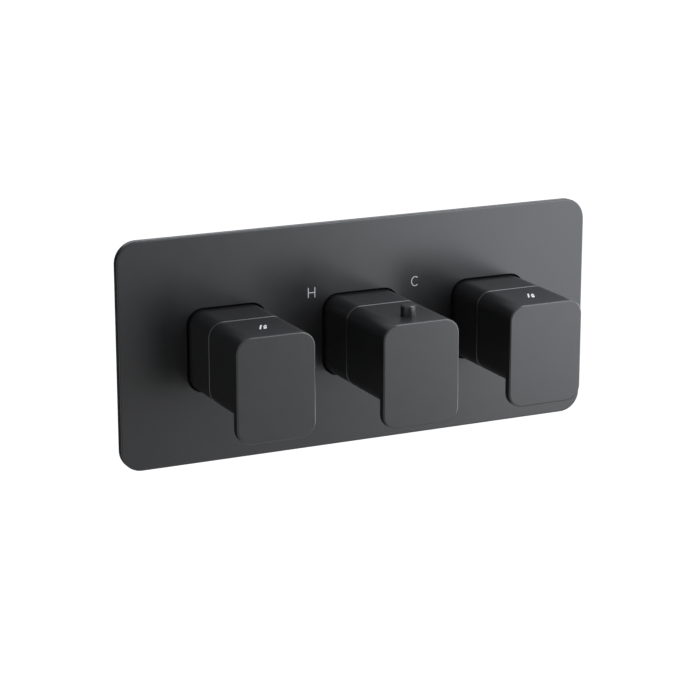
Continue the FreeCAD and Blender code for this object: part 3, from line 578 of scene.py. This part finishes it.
def add_thread(name, mount):
    """A thread's ridge round the inside of a port, from the mouth to the end of its wall."""
    centre = Vector(mount["pos_m"])
    way = Vector(mount["axis"])
    wall = mount["dims"]["r_mm"] * MM
    length = mount["dims"]["length_mm"] * MM
    root = thread_pitch * thread_root_share / 2
    crest = thread_pitch * thread_crest_share / 2
    run = length - thread_pitch
    steps = int(run / thread_pitch * thread_steps)
    shape = bmesh.new()
    sections = []
    for step in range(steps + 1):
        angle = math.tau * step / thread_steps
        along = run * (step / steps - 0.5)
        rise = min(step, steps - step) / (thread_steps * thread_runout_share)
        foot = wall + thread_sunk
        tip = foot - (thread_depth + thread_sunk) * min(rise, 1.0)
        out = Vector((math.cos(angle), math.sin(angle), 0.0))
        corners = []
        for offset, radius in ((-root, foot), (-crest, tip), (crest, tip), (root, foot)):
            corners.append(shape.verts.new(centre + out * radius + way * (along + offset)))
        sections.append(corners)
    for before, after in zip(sections, sections[1:]):
        for index in range(len(before)):
            beside = (index + 1) % len(before)
            shape.faces.new((before[index], before[beside], after[beside], after[index]))
    shape.faces.new(sections[0])
    shape.faces.new(sections[-1])
    piece = add_piece(name, shape, finishes["brass"], "wall_unit")


def add_threads():
    """A thread in each inlet and outlet."""
    for port in ("hot_inlet", "cold_inlet", "left_outlet", "right_outlet"):
        add_thread(port + "_thread", mounts[port])


# Springs

def on_axis(node, axis, reach):
    """A point on a spring's axis, at a distance along it."""
    low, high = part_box(node)
    middle = (low + high) / 2
    return middle + axis * (reach - middle.dot(axis))


def add_spring(name, node, mesh):
    """A spring, or a stretch of one, as a piece of its own in place of its node."""
    mesh.name = name
    spring = bpy.data.objects.new(name, mesh)
    bpy.context.scene.collection.objects.link(spring)
    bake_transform(spring)
    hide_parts(node)


def cut_mesh(node, place, axis, keep_low):
    """A copy of a node's mesh on one side of a level, closed where it is cut."""
    shape = bmesh.new()
    shape.from_mesh(nodes[node].data)
    everything = shape.verts[:] + shape.edges[:] + shape.faces[:]
    bmesh.ops.bisect_plane(shape, geom=everything, plane_co=place, plane_no=axis,
                           clear_outer=keep_low, clear_inner=not keep_low)
    bmesh.ops.holes_fill(shape, edges=[edge for edge in shape.edges if edge.is_boundary])
    mesh = bpy.data.meshes.new(node)
    shape.to_mesh(mesh)
    shape.free()
    mesh.materials.append(finishes["steel"])
    return mesh


def add_return_spring():
    """The return spring in two stretches, as its front end follows two joints."""
    node = "return_spring"
    front, back = [corner.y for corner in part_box(node)]
    middle = (front + back) / 2
    seam = on_axis(node, inward, middle)
    add_spring("return_spring_front", node, cut_mesh(node, seam, inward, True))
    add_spring("return_spring_back", node, cut_mesh(node, seam, inward, False))


def add_springs():
    """Each spring, between the bodies at its ends."""
    for node, axis, low_body, high_body in springs:
        add_spring("pressed_" + node, node, nodes[node].data.copy())
    add_return_spring()


# Stage, light and camera

def add_panel(name, place, width, height, radiance):
    """A flat soft light of a given brightness that faces the valve."""
    light = bpy.data.lights.new(name, "AREA")
    light.shape = "RECTANGLE"
    light.size = width
    light.size_y = height
    light.energy = radiance * math.pi * width * height
    light.color = daylight
    lamp = bpy.data.objects.new(name, light)
    lamp.location = place
    lamp.rotation_mode = "QUATERNION"
    lamp.rotation_quaternion = (Vector(panel_target) - Vector(place)).to_track_quat("-Z", "Y")
    bpy.context.scene.collection.objects.link(lamp)


def add_sheet(name, corners, material):
    """A flat sheet that belongs to the stage."""
    mesh = bpy.data.meshes.new(name)
    mesh.from_pydata(corners, [], [(0, 1, 2, 3)])
    mesh.materials.append(material)
    sheet = bpy.data.objects.new(name, mesh)
    bpy.context.scene.collection.objects.link(sheet)
    return sheet


def make_floor_white():
    """A pale surface that looks white."""
    material, surface = finish("floor_white", (0.80, 0.80, 0.80), 0.8)
    strength = combined(material, "MULTIPLY", looked_at(material), floor_glow)
    surface.inputs["Emission Color"].default_value = (1.0, 1.0, 1.0, 1.0)
    material.node_tree.links.new(strength, surface.inputs["Emission Strength"])
    return material


def add_floor():
    """A wide floor, far below the valve."""
    corners = [(-floor_reach, -floor_reach, floor_drop), (floor_reach, -floor_reach, floor_drop),
               (floor_reach, floor_reach, floor_drop), (-floor_reach, floor_reach, floor_drop)]
    add_sheet("floor", corners, make_floor_white())


def add_boards():
    """Dark boards out of sight, at the left, below and in front, that the valve's dark sides mirror."""
    material = finish("dark_board", (0.02, 0.02, 0.02), 0.9)[0]
    for name, depth, left, right, low, high in boards:
        corners = [(left, depth, low), (right, depth, low), (right, depth, high), (left, depth, high)]
        board = add_sheet(name, corners, material)
        board.visible_camera = False


def add_world():
    """Even daylight that looks white."""
    world = bpy.data.worlds.new("studio")
    world.use_nodes = True
    tree = world.node_tree
    background = tree.nodes["Background"]
    shown = combined(world, "MULTIPLY", looked_at(world), 1.0 - world_level)
    tree.links.new(combined(world, "ADD", shown, world_level), background.inputs["Strength"])
    path = tree.nodes.new("ShaderNodeLightPath")
    color = tree.nodes.new("ShaderNodeMixRGB")
    color.inputs["Color1"].default_value = (*daylight, 1.0)
    color.inputs["Color2"].default_value = (1.0, 1.0, 1.0, 1.0)
    tree.links.new(path.outputs["Is Camera Ray"], color.inputs["Fac"])
    tree.links.new(color.outputs["Color"], background.inputs["Color"])
    bpy.context.scene.world = world


def add_camera():
    """The camera at the photographed angle."""
    yaw = math.radians(camera_yaw)
    pitch = math.radians(camera_pitch)
    forward = Vector((math.sin(yaw) * math.cos(pitch), math.cos(yaw) * math.cos(pitch), -math.sin(pitch)))
    camera = bpy.data.cameras.new("camera")
    camera.lens = camera_lens
    camera.sensor_width = camera_sensor
    holder = bpy.data.objects.new("camera", camera)
    holder.location = camera_place
    holder.rotation_mode = "QUATERNION"
    holder.rotation_quaternion = forward.to_track_quat("-Z", "Y")
    bpy.context.scene.collection.objects.link(holder)
    bpy.context.scene.camera = holder


add_plate()
add_marks()
add_threads()
add_springs()
add_floor()
add_boards()
add_world()
for panel in panels:
    add_panel(*panel)
add_camera()
bpy.context.scene.view_settings.view_transform = "Standard"
